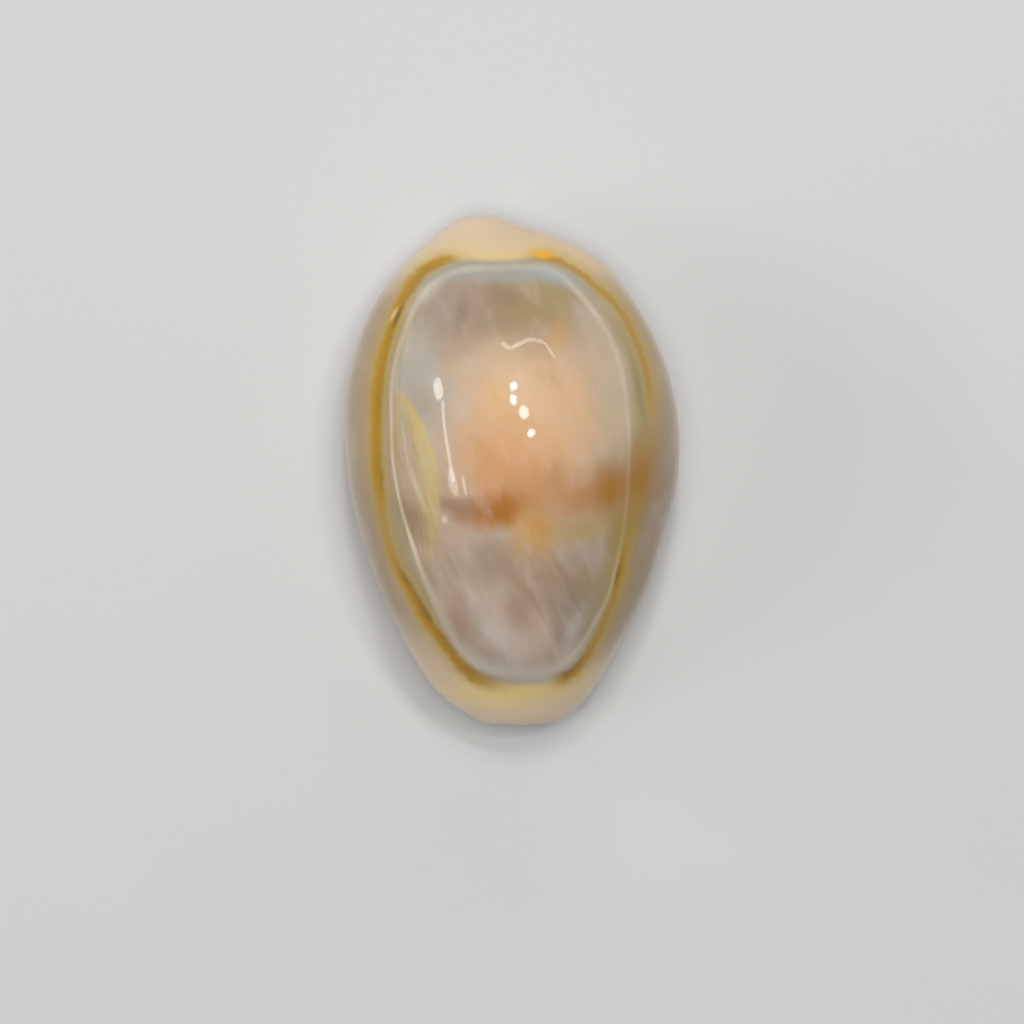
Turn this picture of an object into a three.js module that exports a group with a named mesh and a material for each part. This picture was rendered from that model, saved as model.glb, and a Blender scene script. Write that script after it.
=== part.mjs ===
// A ring cowrie shell, the kind with a gold ring round its back, modelled as the one piece it grew as.
//
// The shell lies on its base with the back up. +Y points to the posterior end, the wide one, +X to the
// columellar side and +Z up, so the outer (labral) lip is on the -X side, as in every right-handed snail.
// The wall is one thick sheet. In each cross-section it runs from the labral lip, under the base, round
// the margin, over the back and round the other margin to the columellar lip. The slit between the lips
// is the aperture. It opens into the hollow of the last whorl and runs out at both ends as a canal.
// The sheet has an outer and an inner surface, which meet along the two lips and the two ends.
//
// All lengths are in millimetres.

import * as THREE from "three";
import { ParametricGeometry } from "three/addons/geometries/ParametricGeometry.js";

const { clamp, degToRad, lerp } = THREE.MathUtils;

// Driving dimensions.
const LENGTH = 25;
const HEIGHT = 12.3;

// The shape along the shell is given at stations 15 degrees apart on a circle whose diameter is the
// length, from the posterior end (y = LENGTH / 2) to the anterior end (y = -LENGTH / 2). So the
// stations crowd together at the ends, where the outline turns fastest.
const labralOutline = [-2.15, -3.15, -4.6, -6.35, -7.6, -8.2, -8.1, -7.45, -6.35, -5.1, -3.75, -2.15, -0.9];
const columellarOutline = [-0.95, 0.35, 3.5, 5.5, 7.0, 7.95, 8.1, 7.4, 6.4, 5.05, 3.85, 2.65, 1.6];
// The ridge of the back, as shares of the height, and where it lies in x.
const ridgeHeight = [0.22, 0.325, 0.46, 0.7, 0.88, 0.975, 1.0, 0.955, 0.85, 0.665, 0.43, 0.29, 0.2];
const ridgeX = [-1.55, -1.4, -0.7, -0.25, 0, 0, 0, 0, 0, 0.05, 0.15, 0.3, 0.35];
// Heights of the widest line of the margin, and of the base. The base is flat, at height 0, wherever
// these go below it.
const marginHeight = [1.8, 2.2, 2.55, 2.8, 2.9, 2.95, 2.95, 2.9, 2.8, 2.65, 2.4, 2.0, 1.65];
const baseHeight = [0.8, 0.52, 0.22, 0.02, -0.05, -0.05, -0.05, -0.05, -0.05, 0.04, 0.26, 0.56, 0.8];
// The aperture's middle line and half width. It flares at both ends, which rounds the tips of the lips.
const apertureX = [-1.55, -1.5, -1.5, -1.55, -1.6, -1.55, -1.4, -1.1, -0.75, -0.4, -0.05, 0.25, 0.35];
const apertureHalf = [0.33, 0.42, 0.5, 0.6, 0.68, 0.74, 0.8, 0.87, 0.95, 0.97, 0.88, 0.78, 0.75];
const POSTERIOR_FLARE = 0.12;
const ANTERIOR_FLARE = 0.3;
const FLARE_ANGLE = degToRad(22);

// The lips: how far the rounding of each edge reaches out along the base and up into the aperture, and
// how high above the base it ends.
const LIP_OUT = 1.3;
const LIP_UP = 1.6;
const LIP_RISE = 0.4;
// The rise is full only where there is this much room between the aperture and the margin.
const LIP_RISE_ROOM = 5;
// From the lip's rounding the base slopes down to a flat strip, which the shell rests on, and then the
// margin rounds up. The slope and the strip take these shares of the way from lip to margin.
const SLOPE_SHARE = 0.36;
const FLAT_SHARE = 0.16;
// The back is a little leaner than an ellipse half way up its sides.
const BACK_FULLNESS = -0.04;
// The ends are undercut: below this height they draw back from the tips, by this much at most.
const UNDERCUT_HEIGHT = 2.4;
const UNDERCUT = 0.7;

// The wall, and the hollow inside it.
const ROOF_WALL = 0.95;
const LABRAL_WALL = 1.9;
const COLUMELLAR_WALL = 1.7;
const FLOOR_HEIGHT = 2.1;
// How far above the widest line of the margin the hollow is widest.
const WALL_RISE = 0.9;
const HOLLOW_HALF_LENGTH = 11;
const HOLLOW_RAMP = 4;
const CANAL_ROOF = 2.45;
// Inside, the labral lip has a low crest, and the earlier whorls swell up behind the columellar lip.
// Both shrink where the hollow narrows. The floor behind them ends at a share of the hollow's width.
const LABRAL_CREST = { out: 0.9, up: 0.7 };
const COLUMELLAR_CREST = { out: 2.4, up: 2.9 };
const CREST_SHARE = 0.38;
const FLOOR_SHARE = 0.66;
// Over this angle from either end the wall thickens from the rounded rim to its full depth. The inside
// rises above the lips sooner than it closes in on the canal, by this factor.
const RIM_ANGLE = degToRad(30);
const RIM_RISE = 3;

// The teeth: ridges across both lips, which fade out on the base within the given reach.
const LABRAL_TEETH = { count: 12, from: -10.2, to: 9.9, reach: 1.5 };
const COLUMELLAR_TEETH = { count: 11, from: -9.9, to: 9.2, reach: 0.9 };
const TOOTH_HEIGHT = 0.3;
const TOOTH_SHARPNESS = 1.3;

// Mesh density: stations along the shell, and steps in each stretch of half a section, which are lip,
// slope, flat strip, margin and back.
const STATIONS = 66;
const STRETCHES = [5, 2, 1, 3, 6];
const HALF_STEPS = STRETCHES.reduce((sum, n) => sum + n, 0);
// This share of the stations at either end is spread evenly in angle, up to END_ANGLE from the end, and
// the rest evenly in y, so that each tooth gets the same number.
const END_SHARE = 0.1;
const END_ANGLE = degToRad(28);

const LABRAL = -1;
const COLUMELLAR = 1;

// A natural cubic spline through evenly spaced values, as a function of t from 0 to 1.
function spline(values) {
  const last = values.length - 1;
  const bend = new Array(values.length).fill(0);
  const pivot = new Array(values.length).fill(0);
  for (let i = 1; i < last; i++) {
    pivot[i] = 1 / (4 - pivot[i - 1]);
    bend[i] = (6 * (values[i - 1] - 2 * values[i] + values[i + 1]) - bend[i - 1]) * pivot[i];
  }
  for (let i = last - 1; i > 0; i--) bend[i] -= pivot[i] * bend[i + 1];
  return (t) => {
    const i = Math.min(Math.floor(t * last), last - 1);
    const b = t * last - i;
    const a = 1 - b;
    return a * values[i] + b * values[i + 1] + ((a ** 3 - a) * bend[i] + (b ** 3 - b) * bend[i + 1]) / 6;
  };
}

const along = {
  labral: spline(labralOutline),
  columellar: spline(columellarOutline),
  ridge: spline(ridgeHeight),
  ridgeX: spline(ridgeX),
  margin: spline(marginHeight),
  base: spline(baseHeight),
  apertureX: spline(apertureX),
  apertureHalf: spline(apertureHalf),
};

// 0 below t = 0, 1 above t = 1, and a cosine between them.
const cosineStep = (t) => (1 - Math.cos(Math.PI * clamp(t, 0, 1))) / 2;

// Height of a tooth at y, from 0 to 1.
function toothAt({ count, from, to }, y) {
  const n = ((y - from) / (to - from)) * count;
  if (n <= 0 || n >= count) return 0;
  return ((1 - Math.cos(2 * Math.PI * n)) / 2) ** TOOTH_SHARPNESS;
}

// What one side of a cross-section needs. x runs outward from the edge of the aperture.
function halfSection(side, outline, base, margin, middle, half, depth, y) {
  const edge = middle + side * half;
  const reach = Math.abs(outline - edge);
  const lipOut = Math.min(LIP_OUT, reach * 0.45);
  const lipEnd = base + LIP_RISE * cosineStep(reach / LIP_RISE_ROOM);
  const slopeWidth = (reach - lipOut) * SLOPE_SHARE * depth;
  const flatWidth = (reach - lipOut) * FLAT_SHARE * depth;
  const teeth = side === LABRAL ? LABRAL_TEETH : COLUMELLAR_TEETH;
  return {
    side,
    edge,
    outline,
    lipOut,
    lipTop: lipEnd + LIP_UP * depth,
    lipEnd,
    flatStart: edge + side * (lipOut + slopeWidth),
    flatEnd: edge + side * (lipOut + slopeWidth + flatWidth),
    base,
    margin,
    tooth: TOOTH_HEIGHT * toothAt(teeth, y) * depth,
    toothReach: teeth.reach,
  };
}

// Everything that a cross-section needs, at an angle from the posterior end.
function section(angle) {
  const t = angle / Math.PI;
  const y = (LENGTH / 2) * Math.cos(angle);
  const fromEnd = Math.min(angle, Math.PI - angle);
  // 0 at the rim of either end, 1 where the wall has its full depth.
  const depth = Math.sin((Math.PI / 2) * Math.min(1, fromEnd / RIM_ANGLE));
  const base = Math.max(0, along.base(t));
  const margin = along.margin(t);
  const middle = along.apertureX(t);
  const flare = y > 0 ? POSTERIOR_FLARE : ANTERIOR_FLARE;
  const half = along.apertureHalf(t) + flare * (1 - Math.min(1, fromEnd / FLARE_ANGLE)) ** 1.5;
  return {
    y,
    depth,
    // 0 in the canals, 1 in the hollow.
    hollow: cosineStep((HOLLOW_HALF_LENGTH - Math.abs(y)) / HOLLOW_RAMP),
    middle,
    half,
    ridge: along.ridge(t) * HEIGHT,
    ridgeX: along.ridgeX(t),
    [LABRAL]: halfSection(LABRAL, along.labral(t), base, margin, middle, half, depth, y),
    [COLUMELLAR]: halfSection(COLUMELLAR, along.columellar(t), base, margin, middle, half, depth, y),
  };
}

// The angle of the station at share v of the way from the anterior end to the posterior one.
function angleOf(v) {
  const share = Math.min(v, 1 - v);
  const even = (share - END_SHARE) / (0.5 - END_SHARE);
  const nearEnd = (END_ANGLE * share) / END_SHARE;
  const fromEnd = even < 0 ? nearEnd : Math.acos(Math.cos(END_ANGLE) * (1 - even));
  return v < 0.5 ? Math.PI - fromEnd : fromEnd;
}

// Which stretch of the half section a share h (0 at the lip, 1 at the ridge) is in, and how far along.
function stretchOf(h) {
  let steps = h * HALF_STEPS;
  let i = 0;
  while (i < STRETCHES.length - 1 && steps > STRETCHES[i] + 1e-9) steps -= STRETCHES[i++];
  return [i, steps / STRETCHES[i]];
}

// The arch of the back or of the roof inside it, from a side point at turn 0 to the top at turn 1.
function arch(side, top, turn, fullness) {
  const angle = (Math.PI / 2) * turn;
  const swell = 1 + fullness * Math.sin(2 * angle) ** 2;
  return [
    top[0] + (side[0] - top[0]) * Math.cos(angle) * swell,
    side[1] + (top[1] - side[1]) * Math.sin(angle) * swell,
  ];
}

// A point of the outer surface, [x, z], at share h of one side.
function outerPoint(sec, half, h) {
  const { side, edge, lipOut, tooth } = half;
  const [stretch, s] = stretchOf(h);
  const turn = (Math.PI / 2) * s;
  if (stretch === 0) {
    // From the top of the lip's wall in the aperture, round its edge, to the base.
    const x = edge + side * (lipOut * (1 - Math.cos(turn)) - tooth * Math.cos(turn));
    const z = half.lipTop - (half.lipTop - half.lipEnd) * Math.sin(turn) - tooth * Math.sin(turn);
    return [x, z];
  }
  if (stretch === 1) {
    const x = lerp(edge + side * lipOut, half.flatStart, s);
    const fade = cosineStep(1 - (Math.abs(x - edge) - lipOut) / half.toothReach);
    return [x, Math.max(half.base, lerp(half.lipEnd, half.base, cosineStep(s)) - tooth * fade)];
  }
  if (stretch === 2) return [lerp(half.flatStart, half.flatEnd, s), half.base];
  if (stretch === 3) {
    const x = half.flatEnd + (half.outline - half.flatEnd) * Math.sin(turn);
    return [x, half.margin - (half.margin - half.base) * Math.cos(turn)];
  }
  return arch([half.outline, half.margin], [sec.ridgeX, sec.ridge], s, BACK_FULLNESS);
}

// A point of the hollow's full section, where the shell is widest.
function hollowPoint(sec, half, h) {
  const { side, edge } = half;
  const crest = side === LABRAL ? LABRAL_CREST : COLUMELLAR_CREST;
  const wallX = half.outline - side * (side === LABRAL ? LABRAL_WALL : COLUMELLAR_WALL);
  const wallZ = half.margin + WALL_RISE;
  const room = Math.max(0, side * (wallX - edge));
  const crestOut = Math.min(crest.out, room * CREST_SHARE);
  const crestUp = (crest.up * crestOut) / crest.out;
  const floorEnd = edge + side * room * FLOOR_SHARE;
  const floor = half.base + FLOOR_HEIGHT;
  const [stretch, s] = stretchOf(h);
  const turn = (Math.PI / 2) * s;
  if (stretch === 0) {
    return [edge + side * crestOut * (1 - Math.cos(turn)), half.lipTop + crestUp * Math.sin(turn)];
  }
  if (stretch < 3) {
    // The slope and the flat strip of the outside lie under one fall from crest to floor inside.
    const fallSteps = STRETCHES[1] * (stretch === 1 ? s : 1) + STRETCHES[2] * (stretch === 2 ? s : 0);
    const share = fallSteps / (STRETCHES[1] + STRETCHES[2]);
    const x = lerp(edge + side * crestOut, floorEnd, share);
    return [x, lerp(half.lipTop + crestUp, floor, cosineStep(share))];
  }
  if (stretch === 3) {
    return [floorEnd + (wallX - floorEnd) * Math.sin(turn), wallZ - (wallZ - floor) * Math.cos(turn)];
  }
  return arch([wallX, wallZ], [sec.ridgeX, sec.ridge - ROOF_WALL], s, BACK_FULLNESS);
}

// A point of the inner surface: the hollow in the middle, a plain round-topped canal at the ends, and
// drawn out to the outer surface at the rim.
function innerPoint(sec, half, h) {
  const turn = (Math.PI / 2) * h;
  const roof = Math.max(CANAL_ROOF, half.lipTop + 0.3);
  const canal = [
    sec.middle + half.side * sec.half * Math.cos(turn),
    lerp(half.lipTop, roof, Math.sin(turn)),
  ];
  const full = hollowPoint(sec, half, h);
  const outer = outerPoint(sec, half, h);
  const toothEdge = half.side * half.tooth * cosineStep(1 - h * 6);
  const inside = [lerp(canal[0], full[0], sec.hollow), lerp(canal[1], full[1], sec.hollow)];
  const rise = Math.min(1, RIM_RISE * sec.depth);
  return [lerp(outer[0], inside[0], sec.depth) - toothEdge, lerp(outer[1], inside[1], rise)];
}

// How far a point draws back from the tip under the end.
function undercut(y, z) {
  const low = clamp(1 - z / UNDERCUT_HEIGHT, 0, 1);
  return UNDERCUT * low ** 2 * (Math.abs(y) / (LENGTH / 2)) ** 6;
}

// The closed surface: round each section, the outer surface from lip to lip and the inner one back.
function shellSurface(u, v, target) {
  const sec = section(angleOf(v));
  const inner = u > 0.5;
  const w = inner ? 2 - 2 * u : 2 * u;
  const half = sec[w < 0.5 ? LABRAL : COLUMELLAR];
  const h = w < 0.5 ? 2 * w : 2 - 2 * w;
  const [x, z] = (inner ? innerPoint : outerPoint)(sec, half, h);
  target.set(x, sec.y - Math.sign(sec.y) * undercut(sec.y, z), z);
}

const shell = new THREE.Mesh(
  new ParametricGeometry(shellSurface, 4 * HALF_STEPS, STATIONS),
  new THREE.MeshStandardMaterial({ color: 0xcbb592, roughness: 0.15, metalness: 0 }),
);
shell.name = "shell";

const part = new THREE.Group();
part.add(shell);

export default part;
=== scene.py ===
"""A ring cowrie shell on a pale floor, seen from straight above.

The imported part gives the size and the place. This script makes the fine surface of the same shell, with
its low relief, its painted enamel and the soft studio light. Lengths are in millimetres up to the point
where a mesh, a lamp or the camera is made, which is in metres.
"""

import math

import bpy
import numpy as np
from mathutils import Matrix, Vector


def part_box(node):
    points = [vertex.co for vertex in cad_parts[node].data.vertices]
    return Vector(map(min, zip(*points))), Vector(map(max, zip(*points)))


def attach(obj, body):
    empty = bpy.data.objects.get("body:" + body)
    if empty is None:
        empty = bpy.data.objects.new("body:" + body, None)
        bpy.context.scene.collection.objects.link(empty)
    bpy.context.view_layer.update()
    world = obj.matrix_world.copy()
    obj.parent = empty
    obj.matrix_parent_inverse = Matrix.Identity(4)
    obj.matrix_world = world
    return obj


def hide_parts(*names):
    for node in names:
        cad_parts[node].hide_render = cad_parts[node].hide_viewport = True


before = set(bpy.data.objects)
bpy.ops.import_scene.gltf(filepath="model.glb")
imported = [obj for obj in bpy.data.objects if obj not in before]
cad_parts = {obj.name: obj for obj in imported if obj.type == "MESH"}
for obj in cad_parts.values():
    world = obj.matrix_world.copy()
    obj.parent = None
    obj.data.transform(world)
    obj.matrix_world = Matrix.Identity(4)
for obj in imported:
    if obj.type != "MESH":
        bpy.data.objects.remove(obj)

MM = 0.001
LABRAL, COLUMELLAR = -1, 1

# ---------------------------------------------------------------------------------------------------
# The form, as in the CAD part: stations 15 degrees apart on a circle whose diameter is the length, from
# the posterior end (+Y) to the anterior one.
# ---------------------------------------------------------------------------------------------------

LENGTH = 25.0
HEIGHT = 12.3
LABRAL_OUTLINE = [-2.15, -3.15, -4.6, -6.35, -7.6, -8.2, -8.1, -7.45, -6.35, -5.1, -3.75, -2.15, -0.9]
COLUMELLAR_OUTLINE = [-0.95, 0.35, 3.5, 5.5, 7.0, 7.95, 8.1, 7.4, 6.4, 5.05, 3.85, 2.65, 1.6]
RIDGE_HEIGHT = [0.22, 0.325, 0.46, 0.7, 0.88, 0.975, 1.0, 0.955, 0.85, 0.665, 0.43, 0.29, 0.2]
RIDGE_X = [-1.55, -1.4, -0.7, -0.25, 0, 0, 0, 0, 0, 0.05, 0.15, 0.3, 0.35]
MARGIN_HEIGHT = [1.8, 2.2, 2.55, 2.8, 2.9, 2.95, 2.95, 2.9, 2.8, 2.65, 2.4, 2.0, 1.65]
BASE_HEIGHT = [0.8, 0.52, 0.22, 0.02, -0.05, -0.05, -0.05, -0.05, -0.05, 0.04, 0.26, 0.56, 0.8]
APERTURE_X = [-1.55, -1.5, -1.5, -1.55, -1.6, -1.55, -1.4, -1.1, -0.75, -0.4, -0.05, 0.25, 0.35]
APERTURE_HALF = [0.33, 0.42, 0.5, 0.6, 0.68, 0.74, 0.8, 0.87, 0.95, 0.97, 0.88, 0.78, 0.75]
POSTERIOR_FLARE, ANTERIOR_FLARE, FLARE_ANGLE = 0.12, 0.3, math.radians(22)

LIP_OUT, LIP_UP, LIP_RISE, LIP_RISE_ROOM = 1.3, 1.6, 0.4, 5.0
SLOPE_SHARE, FLAT_SHARE = 0.36, 0.16
BACK_FULLNESS = -0.04
UNDERCUT_HEIGHT, UNDERCUT = 2.4, 0.7
ROOF_WALL, FLOOR_HEIGHT, WALL_RISE = 0.95, 2.1, 0.9
SIDE_WALL = {LABRAL: 1.9, COLUMELLAR: 1.7}
HOLLOW_HALF_LENGTH, HOLLOW_RAMP, CANAL_ROOF = 11.0, 4.0, 2.45
CREST = {LABRAL: (0.9, 0.7), COLUMELLAR: (2.4, 2.9)}
CREST_SHARE, FLOOR_SHARE = 0.38, 0.66
RIM_ANGLE, RIM_RISE = math.radians(30), 3.0
# Teeth on each lip: how many, from where to where in y, and how far they reach out over the base.
TEETH = {LABRAL: (12, -10.2, 9.9, 1.5), COLUMELLAR: (11, -9.9, 9.2, 0.9)}
TOOTH_HEIGHT, TOOTH_SHARPNESS = 0.3, 1.3

# Mesh density: stations along the shell, and steps in the stretches of half a section, which are lip,
# slope, flat strip, margin and back. The inside takes every fourth step.
STATIONS = 240
STRETCHES = (24, 12, 4, 24, 76)
INNER_STRIDE = 4


def spline(values, t):
    """A natural cubic spline through evenly spaced values, at t from 0 to 1."""
    values = np.asarray(values, float)
    last = len(values) - 1
    bend, pivot = np.zeros(last + 1), np.zeros(last + 1)
    for i in range(1, last):
        pivot[i] = 1 / (4 - pivot[i - 1])
        bend[i] = (6 * (values[i - 1] - 2 * values[i] + values[i + 1]) - bend[i - 1]) * pivot[i]
    for i in range(last - 1, 0, -1):
        bend[i] -= pivot[i] * bend[i + 1]
    i = np.minimum((t * last).astype(int), last - 1)
    b = t * last - i
    a = 1 - b
    curve = ((a**3 - a) * bend[i] + (b**3 - b) * bend[i + 1]) / 6
    return a * values[i] + b * values[i + 1] + curve


def cosine_step(t):
    """0 below t = 0, 1 above t = 1, and a cosine between them."""
    return (1 - np.cos(np.pi * np.clip(t, 0, 1))) / 2


def mix(a, b, t):
    return a + (b - a) * t


def tooth_at(side, y):
    """Height of a tooth at y, from 0 to 1."""
    count, start, end, _ = TEETH[side]
    n = (y - start) / (end - start) * count
    wave = ((1 - np.cos(2 * np.pi * n)) / 2) ** TOOTH_SHARPNESS
    return np.where((n > 0) & (n < count), wave, 0)


class Section:
    """What the cross-sections need, as columns with one row a station."""

    def __init__(self, angle, side):
        t = angle / np.pi
        self.side = side
        self.y = LENGTH / 2 * np.cos(angle)
        from_end = np.minimum(angle, np.pi - angle)
        self.depth = np.sin(np.pi / 2 * np.minimum(1, from_end / RIM_ANGLE))
        self.hollow = cosine_step((HOLLOW_HALF_LENGTH - np.abs(self.y)) / HOLLOW_RAMP)
        self.base = np.maximum(0, spline(BASE_HEIGHT, t))
        self.margin = spline(MARGIN_HEIGHT, t)
        self.middle = spline(APERTURE_X, t)
        flare = np.where(self.y > 0, POSTERIOR_FLARE, ANTERIOR_FLARE)
        self.half = spline(APERTURE_HALF, t) + flare * (1 - np.minimum(1, from_end / FLARE_ANGLE)) ** 1.5
        self.ridge = spline(RIDGE_HEIGHT, t) * HEIGHT
        self.ridge_x = spline(RIDGE_X, t)
        self.outline = spline(LABRAL_OUTLINE if side == LABRAL else COLUMELLAR_OUTLINE, t)
        self.edge = self.middle + side * self.half
        reach = np.abs(self.outline - self.edge)
        self.lip_out = np.minimum(LIP_OUT, reach * 0.45)
        self.lip_end = self.base + LIP_RISE * cosine_step(reach / LIP_RISE_ROOM)
        self.lip_top = self.lip_end + LIP_UP * self.depth
        slope = (reach - self.lip_out) * SLOPE_SHARE * self.depth
        flat = (reach - self.lip_out) * FLAT_SHARE * self.depth
        self.flat_start = self.edge + side * (self.lip_out + slope)
        self.flat_end = self.flat_start + side * flat
        self.tooth = TOOTH_HEIGHT * tooth_at(side, self.y) * self.depth


def arch(side_x, side_z, top_x, top_z, turn):
    """The arch of the back, or of the roof inside it, from the side at turn 0 up to the top."""
    swell = 1 + BACK_FULLNESS * np.sin(2 * turn) ** 2
    x = top_x + (side_x - top_x) * np.cos(turn) * swell
    return x, side_z + (top_z - side_z) * np.sin(turn) * swell


def outer_section(sec, stretch, s):
    """Points of the outer surface, for rows of stations and columns of steps."""
    turn = np.pi / 2 * s
    lip_x = sec.edge + sec.side * (sec.lip_out * (1 - np.cos(turn)) - sec.tooth * np.cos(turn))
    lip_z = sec.lip_top - (sec.lip_top - sec.lip_end + sec.tooth) * np.sin(turn)
    slope_x = mix(sec.edge + sec.side * sec.lip_out, sec.flat_start, s)
    fade = cosine_step(1 - (np.abs(slope_x - sec.edge) - sec.lip_out) / TEETH[sec.side][3])
    slope_z = np.maximum(sec.base, mix(sec.lip_end, sec.base, cosine_step(s)) - sec.tooth * fade)
    flat_x = mix(sec.flat_start, sec.flat_end, s)
    margin_x = sec.flat_end + (sec.outline - sec.flat_end) * np.sin(turn)
    margin_z = sec.margin - (sec.margin - sec.base) * np.cos(turn)
    back_x, back_z = arch(sec.outline, sec.margin, sec.ridge_x, sec.ridge, turn)
    x = np.choose(stretch, [lip_x, slope_x, flat_x, margin_x, back_x])
    z = np.choose(stretch, [lip_z, slope_z, sec.base + 0 * s, margin_z, back_z])
    return x, z


def inner_section(sec, stretch, s, share):
    """Points of the inner surface: the hollow, a canal at either end, and the rims."""
    turn = np.pi / 2 * s
    crest_most, crest_height = CREST[sec.side]
    wall_x = sec.outline - sec.side * SIDE_WALL[sec.side]
    wall_z = sec.margin + WALL_RISE
    room = np.maximum(0, sec.side * (wall_x - sec.edge))
    crest_out = np.minimum(crest_most, room * CREST_SHARE)
    crest_up = crest_height * crest_out / crest_most
    floor_end = sec.edge + sec.side * room * FLOOR_SHARE
    floor = sec.base + FLOOR_HEIGHT
    # The slope and the flat strip of the outside lie under one fall from crest to floor inside.
    done = np.where(stretch == 2, STRETCHES[1] + STRETCHES[2] * s, STRETCHES[1] * s)
    fall = done / (STRETCHES[1] + STRETCHES[2])
    lip_x = sec.edge + sec.side * crest_out * (1 - np.cos(turn))
    lip_z = sec.lip_top + crest_up * np.sin(turn)
    fall_x = mix(sec.edge + sec.side * crest_out, floor_end, fall)
    fall_z = mix(sec.lip_top + crest_up, floor, cosine_step(fall))
    margin_x = floor_end + (wall_x - floor_end) * np.sin(turn)
    margin_z = wall_z - (wall_z - floor) * np.cos(turn)
    roof_x, roof_z = arch(wall_x, wall_z, sec.ridge_x, sec.ridge - ROOF_WALL, turn)
    full_x = np.choose(stretch, [lip_x, fall_x, fall_x, margin_x, roof_x])
    full_z = np.choose(stretch, [lip_z, fall_z, fall_z, margin_z, roof_z])
    around = np.pi / 2 * share
    roof = np.maximum(CANAL_ROOF, sec.lip_top + 0.3)
    canal_x = sec.middle + sec.side * sec.half * np.cos(around)
    canal_z = mix(sec.lip_top, roof, np.sin(around))
    outer_x, outer_z = outer_section(sec, stretch, s)
    inside_x, inside_z = mix(canal_x, full_x, sec.hollow), mix(canal_z, full_z, sec.hollow)
    tooth_edge = sec.side * sec.tooth * cosine_step(1 - share * 6)
    x = mix(outer_x, inside_x, sec.depth) - tooth_edge
    return x, mix(outer_z, inside_z, np.minimum(1, RIM_RISE * sec.depth))


def surface(make, steps):
    """A grid of points, stations by steps, from the labral lip round to the columellar one."""
    angle = (np.pi * np.arange(STATIONS, -1, -1) / STATIONS)[:, None]
    halves = []
    for side in (LABRAL, COLUMELLAR):
        sec = Section(angle, side)
        x, z = make(sec, *steps)
        halves.append(np.stack([x, np.broadcast_to(sec.y, x.shape), z], axis=-1))
    grid = np.concatenate([halves[0], halves[1][:, -2::-1]], axis=1)
    low = np.clip(1 - grid[..., 2] / UNDERCUT_HEIGHT, 0, 1)
    back = UNDERCUT * low**2 * (np.abs(grid[..., 1]) / (LENGTH / 2)) ** 6
    grid[..., 1] -= np.sign(grid[..., 1]) * back
    return grid


def half_steps():
    """The stretch of each step of half a section, and how far along it the step is."""
    stretch, along = [0], [0.0]
    for i, count in enumerate(STRETCHES):
        stretch += [i] * count
        along += [(k + 1) / count for k in range(count)]
    return np.array(stretch)[None], np.array(along)[None]


stretch_of, along_of = half_steps()
share_of = np.linspace(0, 1, stretch_of.shape[1])[None]
outer = surface(outer_section, (stretch_of, along_of))
inner_steps = (stretch_of[:, ::INNER_STRIDE], along_of[:, ::INNER_STRIDE], share_of[:, ::INNER_STRIDE])
inner = surface(inner_section, inner_steps)

# ---------------------------------------------------------------------------------------------------
# The markings, in plan. Each row is a point of a closed line, then its half width and its strength.
# ---------------------------------------------------------------------------------------------------

GOLD_RING = [
    (-0.6, 10.3, 0.18, 0.06), (-2.2, 10.32, 0.18, 0.15), (-3.4, 10.32, 0.17, 0.85), (-4.46, 9.75, 0.22, 1.0),
    (-5.2, 8.85, 0.22, 1.0), (-5.68, 7.95, 0.2, 0.95), (-6.03, 7.0, 0.16, 0.95), (-6.38, 5.9, 0.19, 1.0),
    (-6.62, 4.7, 0.2, 1.0), (-6.76, 3.2, 0.21, 1.0), (-6.8, 1.7, 0.21, 1.0), (-6.74, 0.3, 0.21, 1.0),
    (-6.6, -1.1, 0.2, 0.85), (-6.4, -2.5, 0.16, 0.65), (-6.1, -3.8, 0.14, 0.7), (-5.62, -5.0, 0.16, 0.85),
    (-5.02, -6.0, 0.19, 1.0), (-4.42, -7.1, 0.2, 1.0), (-3.75, -8.1, 0.19, 1.0), (-3.05, -9.05, 0.2, 1.0),
    (-2.3, -9.85, 0.24, 0.95), (-1.4, -10.35, 0.26, 0.7), (0.1, -10.55, 0.3, 0.3), (1.6, -10.5, 0.22, 0.25),
    (2.7, -10.1, 0.2, 0.95), (3.45, -9.35, 0.18, 0.85), (4.2, -8.1, 0.14, 0.75), (4.85, -6.5, 0.13, 0.75),
    (5.3, -4.9, 0.15, 0.9), (5.6, -3.3, 0.16, 0.6), (5.95, -1.9, 0.2, 0.4), (6.4, -0.4, 0.22, 0.25),
    (6.7, 1.2, 0.2, 0.2), (6.76, 2.6, 0.14, 0.4), (6.62, 4.3, 0.12, 0.66), (6.3, 5.7, 0.12, 0.74),
    (5.7, 7.1, 0.11, 0.76), (4.95, 8.25, 0.11, 0.76), (3.85, 9.25, 0.11, 0.74), (2.7, 10.05, 0.12, 0.74),
    (1.5, 10.5, 0.14, 0.8), (0.6, 10.4, 0.16, 0.3),
]
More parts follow.
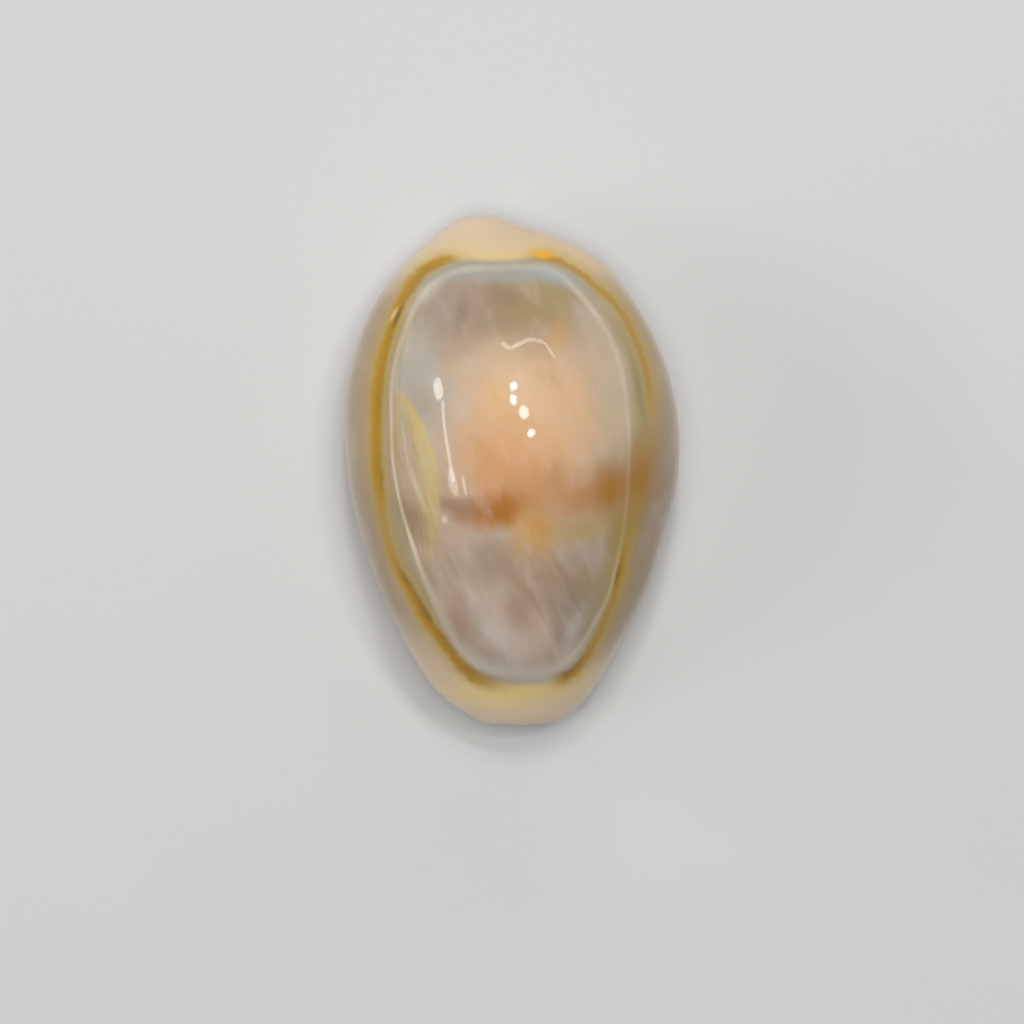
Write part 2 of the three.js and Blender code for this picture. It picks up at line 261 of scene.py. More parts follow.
PALE_LINE = [
    (-1.0, 9.95, 0.18, 0.35), (-2.4, 9.85, 0.18, 0.55), (-3.5, 9.45, 0.16, 0.5), (-4.5, 8.6, 0.16, 0.45),
    (-5.15, 7.4, 0.14, 0.4), (-5.6, 6.2, 0.12, 0.35), (-5.9, 5.0, 0.11, 0.4), (-6.03, 3.7, 0.1, 0.55),
    (-6.03, 2.2, 0.09, 0.6), (-5.96, 0.6, 0.08, 0.7), (-5.75, -0.8, 0.08, 0.85), (-5.45, -2.1, 0.08, 0.8),
    (-5.0, -3.6, 0.11, 0.95), (-4.55, -4.9, 0.13, 0.7), (-4.1, -6.1, 0.16, 0.35), (-3.5, -7.5, 0.16, 0.3),
    (-2.7, -8.8, 0.2, 0.3), (-1.6, -9.7, 0.24, 0.35), (0.0, -10.05, 0.26, 0.4), (1.4, -10.0, 0.24, 0.4),
    (2.5, -9.5, 0.18, 0.4), (3.4, -8.6, 0.14, 0.5), (4.15, -7.3, 0.13, 0.6), (4.8, -5.9, 0.12, 0.6),
    (5.2, -4.4, 0.12, 0.55), (5.45, -2.9, 0.11, 0.6), (5.6, -1.4, 0.1, 0.65), (5.68, 0.2, 0.11, 0.7),
    (5.7, 1.8, 0.11, 0.55), (5.58, 3.4, 0.11, 0.45), (5.3, 5.0, 0.12, 0.5), (4.75, 6.6, 0.14, 0.55),
    (3.95, 7.85, 0.15, 0.6), (3.0, 8.95, 0.17, 0.5), (1.9, 9.85, 0.2, 0.5), (0.5, 10.02, 0.18, 0.4),
]

# A window of thinner enamel beside the left stretch of the ring, yellow along its right edge.
WINDOW = [
    (-5.64, 3.95, 0.3, 0.5), (-5.15, 3.4, 0.5, 0.8), (-4.56, 2.45, 0.6, 1.0), (-4.26, 1.67, 0.6, 1.0),
    (-3.97, 0.98, 0.7, 0.9), (-3.73, 0.0, 0.8, 0.75), (-3.66, -1.0, 0.8, 0.6), (-3.68, -2.0, 0.8, 0.6),
    (-3.72, -2.95, 0.7, 0.5), (-4.07, -4.4, 0.5, 0.3), (-4.5, -5.0, 0.4, 0.1), (-5.0, -3.6, 0.2, 0.0),
    (-5.4, -2.0, 0.2, 0.0), (-5.7, -0.6, 0.2, 0.0), (-5.9, 1.0, 0.2, 0.0), (-5.95, 2.5, 0.2, 0.1),
    (-5.85, 3.6, 0.2, 0.2),
]


def closed_curve(rows, fine=12):
    """A closed Catmull-Rom curve through the rows, with every column carried along."""
    p = np.asarray(rows, float)
    before, after, beyond = np.roll(p, 1, 0), np.roll(p, -1, 0), np.roll(p, -2, 0)
    t = (np.arange(fine) / fine)[None, :, None]
    a, b, c, d = before[:, None], p[:, None], after[:, None], beyond[:, None]
    curve = b + 0.5 * t * (c - a + t * (2 * a - 5 * b + 4 * c - d + t * (3 * (b - c) + d - a)))
    return curve.reshape(-1, p.shape[1])


def beside(rows, x, y):
    """Signed distance to a closed line in plan, positive outside, with its half width and strength."""
    curve = closed_curve(rows)
    ends = np.roll(curve, -1, 0)
    distance = np.full(x.shape, np.inf)
    width, strength = np.zeros(x.shape), np.zeros(x.shape)
    inside = np.zeros(x.shape, bool)
    for (ax, ay, aw, as_), (bx, by, bw, bs) in zip(curve, ends):
        dx, dy = bx - ax, by - ay
        t = np.clip(((x - ax) * dx + (y - ay) * dy) / (dx * dx + dy * dy), 0, 1)
        away = np.hypot(x - ax - t * dx, y - ay - t * dy)
        near = away < distance
        distance = np.where(near, away, distance)
        width = np.where(near, mix(aw, bw, t), width)
        strength = np.where(near, mix(as_, bs, t), strength)
        if dy != 0:
            inside ^= ((ay > y) != (by > y)) & (x < ax + (y - ay) / dy * dx)
    return np.where(inside, -distance, distance), width, strength


def bump(distance, width):
    return np.exp(-((distance / width) ** 2))


# The markings were laid out as they look from a fixed point above the shell, so a place among them is
# where the line from that point crosses the level of the outline. High on the back that is a little
# further out. The result is stored with the mesh, and doesn't depend on the camera.
LAYOUT_POINT = np.array([-0.05, -2.06, 212.0])
OUTLINE_LEVEL = 2.9


def seen_plan(points):
    zoom = (LAYOUT_POINT[2] - OUTLINE_LEVEL) / (LAYOUT_POINT[2] - points[..., 2:])
    return LAYOUT_POINT[:2] + (points[..., :2] - LAYOUT_POINT[:2]) * zoom


steps_round = outer.shape[1]
round_stretch = np.concatenate([stretch_of[0], stretch_of[0, -2::-1]])
round_along = np.concatenate([along_of[0], along_of[0, -2::-1]])
# 0 on the base, 1 on the back, turning over on the upper part of the margin.
turning = cosine_step(round_along * 2 - 0.8)
upper_row = np.where(round_stretch == 4, 1.0, np.where(round_stretch == 3, turning, 0))
upper = np.broadcast_to(upper_row, outer.shape[:2]).copy()

seen = seen_plan(outer)
ring_side, ring_width, ring_tone = beside(GOLD_RING, seen[..., 0], seen[..., 1])
line_side, line_width, line_tone = beside(PALE_LINE, seen[..., 0], seen[..., 1])
window_side, window_width, window_tone = beside(WINDOW, seen[..., 0], seen[..., 1])


def grid_normals(grid):
    along = np.gradient(grid, axis=0)
    around = np.gradient(grid, axis=1)
    normal = np.cross(around, along)
    length = np.linalg.norm(normal, axis=-1, keepdims=True)
    return normal / np.maximum(length, 1e-9)


# Low relief on the back, in millimetres: the ring lies in a shallow groove at the edge of the callus,
# which is a little thicker than the back inside it, and the pale line stands up as a fine ridge.
normals = grid_normals(outer)
x, y = outer[..., 0], outer[..., 1]
callus = 0.07 * cosine_step(ring_side / 0.9 + 0.5)
groove = -0.07 * ring_tone * bump(ring_side, 0.3)
ridge = 0.035 * line_tone * bump(line_side, line_width)
waves = 0.02 * np.sin(0.9 * x + 0.5 * y) * np.sin(0.7 * y - 0.4 * x + 1.0)
waves += 0.012 * np.sin(1.9 * x - 0.6 * y + 2.0) * np.sin(1.3 * y + 0.8 * x)
relief = upper * (groove + ridge + waves + callus - 0.05)
rim = np.sin(np.pi * np.arange(STATIONS + 1) / STATIONS)[:, None]
relief *= np.clip(rim * 6, 0, 1)
outer = outer + normals * relief[..., None]
normals = grid_normals(outer)

# ---------------------------------------------------------------------------------------------------
# The mesh
# ---------------------------------------------------------------------------------------------------


def fit_to_frame(points):
    """Stretches the points, by a few thousandths at most, so that they fill the CAD part's box."""
    low, high = [np.array(corner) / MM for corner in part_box("shell")]
    mine_low, mine_high = points.min(0), points.max(0)
    return low + (points - mine_low) * (high - low) / (mine_high - mine_low)


def shell_mesh():
    rows = STATIONS + 1
    inner_count = inner.shape[1]
    outer_index = np.arange(rows * steps_round).reshape(rows, steps_round)
    inner_index = np.full((rows, inner_count), -1)
    inner_index[:, 0] = outer_index[:, 0]
    inner_index[:, -1] = outer_index[:, -1]
    inner_index[0] = outer_index[0, ::INNER_STRIDE]
    inner_index[-1] = outer_index[-1, ::INNER_STRIDE]
    own = inner[1:-1, 1:-1]
    own_count = own.shape[0] * own.shape[1]
    inner_index[1:-1, 1:-1] = rows * steps_round + np.arange(own_count).reshape(own.shape[:2])
    points = np.concatenate([outer.reshape(-1, 3), own.reshape(-1, 3)])
    faces = []
    for i in range(rows - 1):
        for j in range(steps_round - 1):
            a, b = outer_index[i, j], outer_index[i, j + 1]
            faces.append((a, b, outer_index[i + 1, j + 1], outer_index[i + 1, j]))
    for i in range(rows - 1):
        for j in range(inner_count - 1):
            near = [inner_index[i, j], inner_index[i, j + 1]]
            far = [inner_index[i + 1, j + 1], inner_index[i + 1, j]]
            if i == 0:
                near = list(outer_index[0, j * INNER_STRIDE : (j + 1) * INNER_STRIDE + 1])
            if i == rows - 2:
                far = list(outer_index[-1, j * INNER_STRIDE : (j + 1) * INNER_STRIDE + 1])[::-1]
            faces.append(tuple((near + far)[::-1]))
    faces = [tuple(int(v) for v in face) for face in faces]
    mesh = bpy.data.meshes.new("shell_fine")
    mesh.from_pydata((fit_to_frame(points) * MM).tolist(), [], faces)
    mesh.validate()
    mesh.shade_smooth()
    for name, field, inside_value in (
        ("ring_side", ring_side, 3.0),
        ("ring_width", ring_width, 0.2),
        ("ring_tone", ring_tone, 0.0),
        ("line_side", line_side, 3.0),
        ("line_width", line_width, 0.2),
        ("line_tone", line_tone, 0.0),
        ("window_side", window_side, 3.0),
        ("window_width", window_width, 0.2),
        ("window_tone", window_tone, 0.0),
        ("upper", upper, 0.0),
        ("seen_x", seen[..., 0], 0.0),
        ("seen_y", seen[..., 1], 0.0),
        ("inside", np.zeros(upper.shape), 1.0),
    ):
        values = np.concatenate([field.ravel(), np.full(own_count, inside_value)])
        mesh.attributes.new(name, "FLOAT", "POINT").data.foreach_set("value", values)
    return mesh


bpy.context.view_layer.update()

shell = bpy.data.objects.new("cowrie_shell", shell_mesh())
bpy.context.scene.collection.objects.link(shell)

# ---------------------------------------------------------------------------------------------------
# The enamel
# ---------------------------------------------------------------------------------------------------


def linear(r, g, b):
    """An sRGB colour, 0 to 255, as the shader's linear one."""

    def channel(c):
        c /= 255
        return c / 12.92 if c <= 0.04045 else ((c + 0.055) / 1.055) ** 2.4

    return (channel(r), channel(g), channel(b), 1.0)


class Paint:
    """Builds a node tree layer by layer."""

    def __init__(self, name):
        self.material = bpy.data.materials.new(name)
        self.material.use_nodes = True
        self.tree = self.material.node_tree
        self.shader = self.tree.nodes["Principled BSDF"]

    def node(self, kind, values=(), **settings):
        node = self.tree.nodes.new(kind)
        for key, value in settings.items():
            setattr(node, key, value)
        for key, value in dict(values).items():
            if isinstance(value, bpy.types.NodeSocket):
                self.tree.links.new(value, node.inputs[key])
            else:
                node.inputs[key].default_value = value
        return node

    def attribute(self, name):
        return self.node("ShaderNodeAttribute", attribute_name=name).outputs["Fac"]

    def math(self, operation, a, b=0.0):
        return self.node("ShaderNodeMath", {0: a, 1: b}, operation=operation).outputs[0]

    def ramp(self, value, low, high, out_low=0.0, out_high=1.0):
        """A smooth step from out_low at low to out_high at high."""
        values = {"Value": value, "From Min": low, "From Max": high, "To Min": out_low, "To Max": out_high}
        return self.node("ShaderNodeMapRange", values, interpolation_type="SMOOTHSTEP").outputs[0]

    def shift(self, operation, vector, by):
        return self.node("ShaderNodeVectorMath", {0: vector, 1: by}, operation=operation).outputs[0]

    def plain(self, colour):
        node = self.node("ShaderNodeRGB")
        node.outputs[0].default_value = colour
        return node.outputs[0]

    def noise(self, place, scale, detail=2.0, stretch=(1, 1, 1), turn=0.0):
        """Noise with features about 1 / scale millimetres across, drawn out along a turned axis."""
        values = {"Vector": place, "Scale": stretch, "Rotation": (0, 0, turn)}
        moved = self.node("ShaderNodeMapping", values, vector_type="TEXTURE").outputs[0]
        values = {"Vector": moved, "Scale": scale, "Detail": detail, "Roughness": 0.55}
        return self.node("ShaderNodeTexNoise", values).outputs["Fac"]

    def spot(self, place, middle, radii, turn):
        """1 in the middle of an ellipse in plan, fading to 0 at its edge."""
        turned = (0, 0, math.radians(turn))
        values = {"Vector": place, "Location": (*middle, 0), "Rotation": turned, "Scale": (*radii, 1)}
        moved = self.node("ShaderNodeMapping", values, vector_type="TEXTURE").outputs[0]
        inward = self.node("ShaderNodeTexGradient", {0: moved}, gradient_type="SPHERICAL").outputs["Fac"]
        return self.ramp(inward, 0.0, 0.9)

    def layer(self, under, colour, factor):
        values = {0: factor, 6: under, 7: colour}
        return self.node("ShaderNodeMix", values, data_type="RGBA").outputs[2]

    def times(self, *factors):
        out = factors[0]
        for factor in factors[1:]:
            out = self.math("MULTIPLY", out, factor)
        return out


def enamel():
    paint = Paint("enamel")
    position = paint.node("ShaderNodeTexCoord").outputs["Object"]
    in_mm = paint.shift("MULTIPLY", position, (1000, 1000, 1000))
    height = paint.node("ShaderNodeSeparateXYZ", {0: in_mm}).outputs[2]
    x, y = paint.attribute("seen_x"), paint.attribute("seen_y")
    plan = paint.node("ShaderNodeCombineXYZ", {0: x, 1: y}).outputs[0]
    # A slow waver that keeps every patch from being a clean ellipse.
    waver = paint.node("ShaderNodeTexNoise", {"Vector": plan, "Scale": 0.4, "Detail": 2.0}).outputs["Color"]
    centred = paint.shift("SUBTRACT", waver, (0.5, 0.5, 0.5))
    place = paint.shift("ADD", plan, paint.shift("MULTIPLY", centred, (2.0, 2.0, 0)))

    # The back inside the ring, from its ground colour up.
    back = paint.plain(linear(188, 170, 150))
    patches = [
        # middle, radii, turn, colour, strength
        ((1.0, 2.6), (6.4, 8.0), 0, (214, 178, 140), 0.9),
        ((0.4, 0.6), (4.6, 3.8), 0, (210, 158, 108), 0.75),
        ((2.6, 3.0), (3.2, 4.6), 0, (224, 184, 144), 0.6),
        ((-0.7, -0.1), (2.4, 2.4), 0, (202, 142, 94), 0.4),
        ((-0.4, 8.2), (6.4, 3.6), 0, (158, 134, 104), 0.9),
        ((-3.2, 7.8), (3.2, 2.6), 30, (164, 146, 132), 0.7),
        ((1.6, 8.6), (3.0, 1.8), 0, (170, 148, 92), 0.6),
        ((-4.8, 4.6), (2.2, 5.0), 6, (178, 170, 157), 0.9),
        ((5.2, 4.2), (2.4, 6.0), 10, (198, 182, 152), 0.7),
        ((0.2, -6.9), (7.4, 6.6), 0, (186, 164, 142), 1.0),
        ((-3.2, -3.0), (2.2, 1.8), 0, (190, 164, 142), 0.6),
        ((-1.2, -4.6), (2.6, 2.4), 30, (176, 158, 138), 0.6),
        ((3.9, -4.2), (2.0, 1.6), 0, (176, 160, 146), 0.7),
        ((4.0, -5.4), (1.5, 1.6), 0, (158, 140, 88), 0.65),
        ((1.4, -5.6), (2.8, 3.0), 0, (164, 134, 106), 0.5),
        ((3.2, -7.2), (2.2, 2.4), 0, (154, 138, 126), 0.5),
        ((0.6, -8.4), (3.0, 2.2), 0, (222, 196, 176), 0.75),
        ((-0.6, -7.4), (2.0, 2.6), 20, (214, 194, 178), 0.5),
        ((-4.9, -2.6), (1.3, 2.8), 16, (150, 124, 90), 0.6),
        ((1.8, -1.2), (7.0, 1.9), 0, (196, 144, 96), 0.75),
        ((-0.7, -1.9), (2.7, 1.25), 4, (168, 108, 44), 0.95),
        ((-3.0, -1.7), (2.4, 0.7), -4, (156, 120, 92), 0.8),
        ((5.3, -0.9), (1.4, 1.9), -8, (166, 116, 46), 0.4),
        ((4.1, -1.5), (1.8, 1.0), 0, (182, 132, 74), 0.6),
        ((1.0, -3.1), (2.0, 1.7), 0, (200, 150, 78), 0.9),
        ((3.6, -2.9), (2.8, 1.1), 14, (184, 156, 104), 0.85),
    ]
    for middle, radii, turn, tint, strength in patches:
        patch = paint.times(paint.spot(place, middle, radii, turn), strength)
        back = paint.layer(back, linear(*tint), patch)

    # The window: a beige ground, streaked, with the yellow falling off from its right edge inward.
    window_side = paint.attribute("window_side")
    inward = paint.math("DIVIDE", window_side, paint.attribute("window_width"))
    grain = paint.noise(plan, 1.1, 3.0, (0.5, 4.0, 1), math.radians(14))
    window = paint.ramp(window_side, 0.2, -0.15)
    back = paint.layer(back, linear(190, 168, 126), paint.times(window, 0.6))
    edge_tint = paint.times(paint.ramp(inward, -2.4, -0.1), window, paint.attribute("window_tone"), 0.8)
    back = paint.layer(back, linear(210, 186, 122), edge_tint)
    back = paint.layer(back, linear(146, 114, 70), paint.times(window, paint.ramp(grain, 0.5, 0.25), 0.35))
    back = paint.layer(back, linear(214, 202, 172), paint.times(window, paint.ramp(grain, 0.55, 0.75), 0.4))
    brown = paint.spot(place, (-4.95, -2.6), (0.8, 2.4), 18)
    back = paint.layer(back, linear(140, 108, 72), paint.times(brown, 0.6))
    slant = paint.spot(plan, (-4.75, -0.9), (0.22, 1.9), 20)
    back = paint.layer(back, linear(214, 202, 170), paint.times(slant, 0.6))

    # Streaks, which gather toward the anterior end in the lower half.
    streaks = paint.noise(plan, 0.8, 2.0, (0.7, 4.0, 1), math.radians(28))
    lower = paint.ramp(y, -2.5, -5.0)
    light, dark = paint.ramp(streaks, 0.48, 0.75), paint.ramp(streaks, 0.5, 0.22)
    back = paint.layer(back, linear(206, 192, 182), paint.times(light, lower, 0.4))
    back = paint.layer(back, linear(140, 112, 90), paint.times(dark, lower, 0.4))
    for middle, radii, turn, strength in (
        ((-0.9, -8.2), (0.6, 2.4), 40, 0.6),
        ((-1.9, -6.4), (0.45, 2.0), 26, 0.4),
        ((-3.5, -7.0), (0.4, 2.8), 26, 0.6),
        ((-4.0, -6.0), (0.16, 2.2), 24, 0.4),
        ((2.9, -7.9), (0.5, 2.0), -30, 0.35),
        ((-4.0, 9.1), (0.6, 2.2), -40, 0.55),
        ((-5.25, 7.0), (0.4, 2.2), -6, 0.5),
        ((-5.75, 4.9), (0.16, 2.0), -4, 0.45),
        ((-6.3, 1.3), (0.1, 2.6), 1, 0.5),
        ((-5.35, 1.2), (0.1, 1.8), 8, 0.3),
    ):
        streak = paint.times(paint.spot(plan, middle, radii, turn), strength)
        back = paint.layer(back, linear(214, 208, 198), streak)
    for middle, radii, turn, tint, strength in (
        ((-0.9, -4.4), (1.8, 1.8), 0, (150, 130, 108), 0.5),
        ((-2.7, -7.6), (0.7, 2.4), 28, (168, 132, 106), 0.55),
        ((-4.2, -5.2), (0.5, 1.8), 24, (150, 120, 96), 0.5),
        ((0.2, -7.0), (1.0, 1.8), 30, (160, 126, 98), 0.5),
        ((2.2, -8.0), (0.6, 1.4), 10, (150, 128, 112), 0.5),
        ((-2.6, 7.6), (0.5, 1.6), -10, (140, 118, 106), 0.5),
        ((-0.4, 8.6), (1.8, 0.6), -8, (140, 122, 104), 0.5),
        ((-0.9, 3.5), (1.4, 1.6), 0, (222, 178, 122), 0.5),
        ((2.2, 6.6), (1.0, 1.6), -20, (206, 166, 108), 0.5),
    ):
        cloudy = paint.times(paint.spot(plan, middle, radii, turn), strength)
        back = paint.layer(back, linear(*tint), cloudy)
    mottle = paint.noise(plan, 0.7, 3.0, (1, 1.8, 1), 0.3)
    back = paint.layer(back, linear(156, 128, 84), paint.times(paint.ramp(mottle, 0.5, 0.8), 0.3))
    back = paint.layer(back, linear(210, 200, 188), paint.times(paint.ramp(mottle, 0.5, 0.2), 0.35))

    # Just inside the ring the back is bluish white at both ends and greenish grey at the sides.
    ring_side = paint.attribute("ring_side")
    uneven = paint.math("ADD", ring_side, paint.times(paint.noise(place, 0.7, 3.0), 1.3))
    top_end = paint.ramp(y, 8.4, 9.6)
    top_band = paint.times(paint.ramp(uneven, -0.65, -0.05), top_end, 0.95)
    back = paint.layer(back, linear(167, 163, 151), top_band)
    blue = paint.times(paint.spot(plan, (1.9, 9.7), (2.2, 0.9), -14), 0.6)
    back = paint.layer(back, linear(172, 180, 190), blue)
    bottom_end = paint.ramp(y, -8.0, -9.4)
    bottom_band = paint.times(paint.ramp(uneven, -0.7, 0.1), bottom_end, 0.8)
    back = paint.layer(back, linear(206, 194, 182), bottom_band)
    between_ends = paint.times(paint.ramp(y, 9.0, 7.0), paint.ramp(y, -9.0, -6.0))
    side_band = paint.times(paint.ramp(ring_side, -1.3, -0.5), between_ends)
    back = paint.layer(back, linear(166, 144, 92), paint.times(side_band, 0.75))

    # The pale line.
    line_side = paint.math("ABSOLUTE", paint.attribute("line_side"))
    line_at = paint.math("DIVIDE", line_side, paint.attribute("line_width"))
    faint = paint.ramp(paint.noise(plan, 0.5, 2.0), 0.3, 0.6, 0.55, 1.0)
    line = paint.times(paint.ramp(line_at, 1.6, 0.1), paint.attribute("line_tone"), faint)
    back = paint.layer(back, linear(220, 208, 184), line)

    # The callus outside the ring: pinkish beige at the sides and cream at the ends. The beige of the sides
    # is partly painted shade, darker where the light falls off toward the margins.
    callus = paint.plain(linear(176, 150, 114))
    # Painted shade: the right side of the callus is darkened where the light falls off toward the margin.
    right_side_shade = paint.times(paint.ramp(x, 3.0, 7.0), paint.ramp(y, 5.0, -2.0), 0.8)
    callus = paint.layer(callus, linear(154, 128, 98), right_side_shade)
    away = paint.math("ABSOLUTE", y)
    # Painted shade: the left side of the callus is darkened the same way, less strongly.
    left_side_shade = paint.times(paint.ramp(x, -3.0, -6.0), paint.ramp(y, 2.0, -3.0), 0.6)
    callus = paint.layer(callus, linear(158, 134, 104), left_side_shade)
    ends = paint.ramp(away, 7.5, 11.0)
    callus = paint.layer(callus, linear(218, 192, 157), ends)
    callus = paint.layer(callus, linear(244, 216, 172), paint.times(paint.ramp(y, -8.8, -11.0), 0.7))
    foot = paint.ramp(height, 5.4, 2.0)
    callus = paint.layer(callus, linear(228, 208, 182), paint.times(foot, 0.9))
    near_ring = paint.times(paint.ramp(ring_side, 1.3, 0.1), paint.ramp(away, 9.0, 10.6))
    callus = paint.layer(callus, linear(236, 206, 138), paint.times(near_ring, 0.6))
    cloud = paint.noise(in_mm, 0.35, 1.0)
    callus = paint.layer(callus, linear(176, 152, 130), paint.times(paint.ramp(cloud, 0.5, 0.8), 0.15))
    callus = paint.layer(callus, linear(216, 198, 170), paint.times(paint.ramp(cloud, 0.48, 0.2), 0.2))

    pale_side = paint.spot(plan, (-4.4, -10.0), (3.0, 3.6), 20)
    callus = paint.layer(callus, linear(222, 198, 160), paint.times(pale_side, 0.7))
    yellow_end = paint.spot(plan, (-0.4, -10.7), (4.0, 1.3), 4)
    callus = paint.layer(callus, linear(252, 222, 146), paint.times(yellow_end, 0.9))

    seam = paint.math("ADD", ring_side, paint.times(paint.noise(plan, 1.2, 2.0), 0.1))
    colour = paint.layer(back, callus, paint.ramp(seam, -0.12, 0.22))

    # The gold ring: a soft yellow stain, a gold core, and a darker, olive line in it that comes and goes.
    tone = paint.attribute("ring_tone")
    thick = paint.attribute("ring_width")
    ragged = paint.times(paint.math("SUBTRACT", paint.noise(plan, 1.8, 4.0), 0.5), 0.35)
    side = paint.math("ADD", ring_side, ragged)
    stain = paint.times(paint.ramp(side, -0.6, -0.1), paint.ramp(side, 0.7, 0.1), tone, 0.7)
    colour = paint.layer(colour, linear(188, 158, 58), stain)
    core_at = paint.math("DIVIDE", paint.math("ADD", ring_side, paint.times(ragged, 0.6)), thick)
    core = paint.times(paint.ramp(paint.math("ABSOLUTE", core_at), 1.8, 0.4), paint.ramp(tone, 0.2, 1.0))
    colour = paint.layer(colour, linear(180, 134, 0), core)
    olive_at = paint.math("ABSOLUTE", paint.math("ADD", core_at, 0.5))
    patchy = paint.ramp(paint.noise(plan, 0.45, 2.0), 0.25, 0.7)
    deeper = paint.ramp(y, 2.0, -4.0, 0.3, 0.9)
    olive = paint.times(paint.ramp(olive_at, 1.2, 0.1), paint.ramp(tone, 0.76, 0.95), patchy, deeper)
    colour = paint.layer(colour, linear(124, 90, 0), olive)
    orange = paint.spot(plan, (1.42, 10.62), (1.0, 0.3), -6)
    colour = paint.layer(colour, linear(240, 178, 50), orange)

    # The brown band runs on across the pale line and the ring on the right, and a nick breaks the ring: its
    # dark line is painted shade, with a painted highlight on its left edge.
    for middle, radii, turn, tint, strength in (
        ((4.95, -0.95), (1.35, 2.1), -6, (168, 118, 50), 0.85),
        ((6.2, -0.25), (1.1, 2.9), -8, (164, 114, 28), 0.95),
        ((5.9, 1.0), (1.2, 1.6), 0, (168, 140, 92), 0.4),
        # A thin darker olive line just inside the ring on the right: partly the olive of the ring's inner
        # edge, partly painted shade beside the pale line.
        ((6.25, 3.6), (0.3, 3.2), 12, (148, 128, 80), 0.55),
        ((5.75, -2.5), (0.8, 1.8), -14, (164, 132, 44), 0.7),
        ((5.0, -3.3), (0.7, 1.9), -6, (160, 134, 60), 0.6),
    ):
        over = paint.times(paint.spot(plan, middle, radii, turn), strength)
        colour = paint.layer(colour, linear(*tint), over)
    # Painted shade: the dark line in the nick, where shade falls in the crack.
    crack_shade = paint.spot(plan, (-5.74, 7.55), (0.14, 0.95), -24)
    colour = paint.layer(colour, linear(104, 76, 30), paint.times(crack_shade, 0.8))
    # Painted highlight: the light caught on the nick's left edge.
    crack_edge_highlight = paint.spot(plan, (-5.92, 7.65), (0.12, 0.6), -28)
    colour = paint.layer(colour, linear(222, 192, 140), paint.times(crack_edge_highlight, 0.8))
    # Painted highlight: a small pale dot on the left of the back, standing in for a reflection of the light
    # in the gloss.
    highlight_dot = paint.spot(plan, (-3.4, -2.45), (0.22, 0.3), 20)
    colour = paint.layer(colour, linear(220, 206, 190), paint.times(highlight_dot, 0.8))

    # The base: cream callus, palest on the teeth.
    base = paint.plain(linear(222, 204, 180))
    base = paint.layer(base, linear(204, 180, 156), paint.times(paint.ramp(cloud, 0.5, 0.7), 0.5))
    colour = paint.layer(base, colour, paint.attribute("upper"))
    colour = paint.layer(colour, linear(196, 178, 176), paint.attribute("inside"))

    shader = paint.shader
    paint.tree.links.new(colour, shader.inputs["Base Color"])
    # The polish varies a little, as wear leaves it.
    wear = paint.noise(in_mm, 0.3, 1.0)
    paint.tree.links.new(paint.ramp(wear, 0.3, 0.7, 0.3, 0.36), shader.inputs["Roughness"])
    shader.inputs["Specular IOR Level"].default_value = 0.08
    shader.inputs["Coat Weight"].default_value = 0.6
    shader.inputs["Coat Roughness"].default_value = 0.04
    shader.inputs["Coat IOR"].default_value = 1.42
    shader.inputs["Subsurface Weight"].default_value = 0.12
    shader.inputs["Subsurface Radius"].default_value = (1.0, 0.6, 0.4)
    shader.inputs["Subsurface Scale"].default_value = 0.00025
    return paint.material


shell.data.materials.append(enamel())
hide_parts("shell")
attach(shell, "root")

# ---------------------------------------------------------------------------------------------------
# Floor, camera and light
# ---------------------------------------------------------------------------------------------------

floor_mesh = bpy.data.meshes.new("floor")
reach = 0.7
corners = [(-reach, -reach, 0), (reach, -reach, 0), (reach, reach, 0), (-reach, reach, 0)]
floor_mesh.from_pydata(corners, [], [(0, 1, 2, 3)])
floor = bpy.data.objects.new("floor", floor_mesh)
bpy.context.scene.collection.objects.link(floor)
floor_paint = bpy.data.materials.new("floor")
floor_paint.use_nodes = True
floor_shader = floor_paint.node_tree.nodes["Principled BSDF"]
floor_shader.inputs["Base Color"].default_value = (0.62, 0.62, 0.61, 1)
floor_shader.inputs["Roughness"].default_value = 0.9
floor_mesh.materials.append(floor_paint)

camera = bpy.data.objects.new("camera", bpy.data.cameras.new("camera"))
camera.data.lens = 150
camera.data.sensor_width = 36
camera.data.clip_start = 0.01
camera.data.clip_end = 5
# It looks straight down, from the height where its view matches the layout of the markings.
camera.location = (-0.05 * MM, -2.06 * MM, 212.0 * MM)
camera.rotation_euler = (0, 0, 0)
bpy.context.scene.collection.objects.link(camera)
bpy.context.scene.camera = camera


def lamp(name, place, size, power, aim=(0, 0, 0.004), shape="DISK", across=Vector((1, 0, 0))):
    """An area lamp that faces its aim, with its width as near across as may be."""
    data = bpy.data.lights.new(name, "AREA")
    data.shape = shape
    data.size, data.size_y = size if isinstance(size, tuple) else (size, size)
    data.energy = power
    lamp_object = bpy.data.objects.new(name, data)
    back = (Vector(place) - Vector(aim)).normalized()
    across = (across - across.dot(back) * back).normalized()
    turned = Matrix((across, back.cross(across), back)).transposed()
    lamp_object.matrix_world = Matrix.Translation(place) @ turned.to_4x4()
    bpy.context.scene.collection.objects.link(lamp_object)
    return lamp_object


def mirror_direction(x, y):
    """Where the camera looks, reflected off the back of the shell at a point in plan."""
    plan = seen_plan(outer)
    plan[upper < 1] = 1e3
    i, j = np.unravel_index(np.argmin(np.hypot(plan[..., 0] - x, plan[..., 1] - y)), plan.shape[:2])
    point = Vector(outer[i, j]) * MM
    normal = Vector(normals[i, j])
    view = (camera.location - point).normalized()
    return point, 2 * normal.dot(view) * normal - view


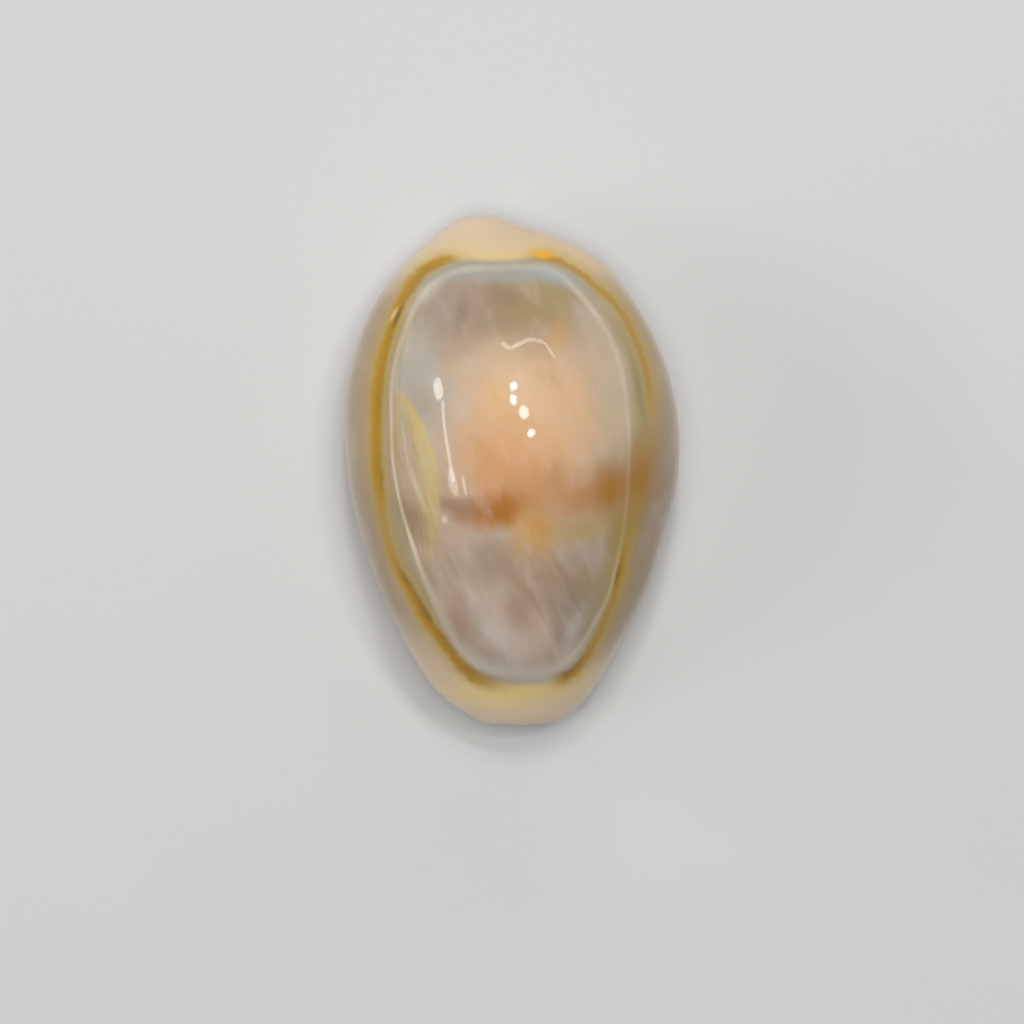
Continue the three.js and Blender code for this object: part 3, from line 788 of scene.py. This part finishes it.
def strip(name, start, end, width, power, shape="RECTANGLE", distance=0.3):
    """A thin strip light, square or round at its ends, reflected from one point of the back to another."""
    (start_point, start_way), (end_point, end_way) = mirror_direction(*start), mirror_direction(*end)
    near, far = start_point + start_way * distance, end_point + end_way * distance
    middle, along = (near + far) / 2, far - near
    back = middle - (start_point + end_point) / 2
    aim = middle - back + back.dot(along) / along.length_squared * along
    lamp(name, middle, (along.length, width), power, aim, shape, along.normalized())


# A broad soft light from above, and a weaker one from either side, give the shading. They leave no
# reflection of their own in the gloss.
for name, place, size, power in (
    ("soft_top", (0.0, 0.0, 0.45), 0.3, 1.08),
    ("soft_left", (-0.5, -0.1, 0.3), 0.3, 0.24),
    ("soft_right", (0.5, 0.1, 0.3), 0.3, 0.15),
):
    soft = lamp(name, place, size, power)
    soft.visible_glossy = False
# Four small oval lamps, and thin strips of light, do leave one.
sparks = [(0.0, 4.16, 0.022), (0.05, 3.52, 0.022), (0.54, 2.73, 0.028), (0.93, 1.86, 0.026)]
for k, (x_at, y_at, size) in enumerate(sparks):
    point, direction = mirror_direction(x_at, y_at)
    lamp(f"spark_{k}", point + direction * 0.3, (size * 1.6, size), 0.085, point, "ELLIPSE")
strip("strip_left", (-3.5, 3.5), (-2.92, -0.6), 0.011, 0.064)
strip("strip_left_top", (-3.63, 4.6), (-3.58, 3.4), 0.036, 0.06, "ELLIPSE")
strip("strip_left_end", (-3.08, 0.1), (-2.8, -1.3), 0.03, 0.042, "ELLIPSE")
strip("strip_left_low", (-2.58, -0.2), (-2.3, -1.3), 0.014, 0.016, "ELLIPSE")
strip("strip_top_a", (-0.62, 6.2), (-0.1, 5.93), 0.016, 0.013, "ELLIPSE")
strip("strip_top_b", (-0.15, 5.95), (0.83, 6.38), 0.012, 0.034)
strip("strip_top_c", (0.83, 6.38), (1.57, 6.28), 0.014, 0.031)
strip("strip_top_d", (1.57, 6.28), (2.05, 5.45), 0.014, 0.025, "ELLIPSE")

world = bpy.data.worlds.new("studio")
bpy.context.scene.world = world
world.use_nodes = True
world.node_tree.nodes["Background"].inputs["Color"].default_value = (0.9, 0.93, 1.0, 1)
world.node_tree.nodes["Background"].inputs["Strength"].default_value = 0.06
bpy.context.scene.view_settings.view_transform = "Standard"
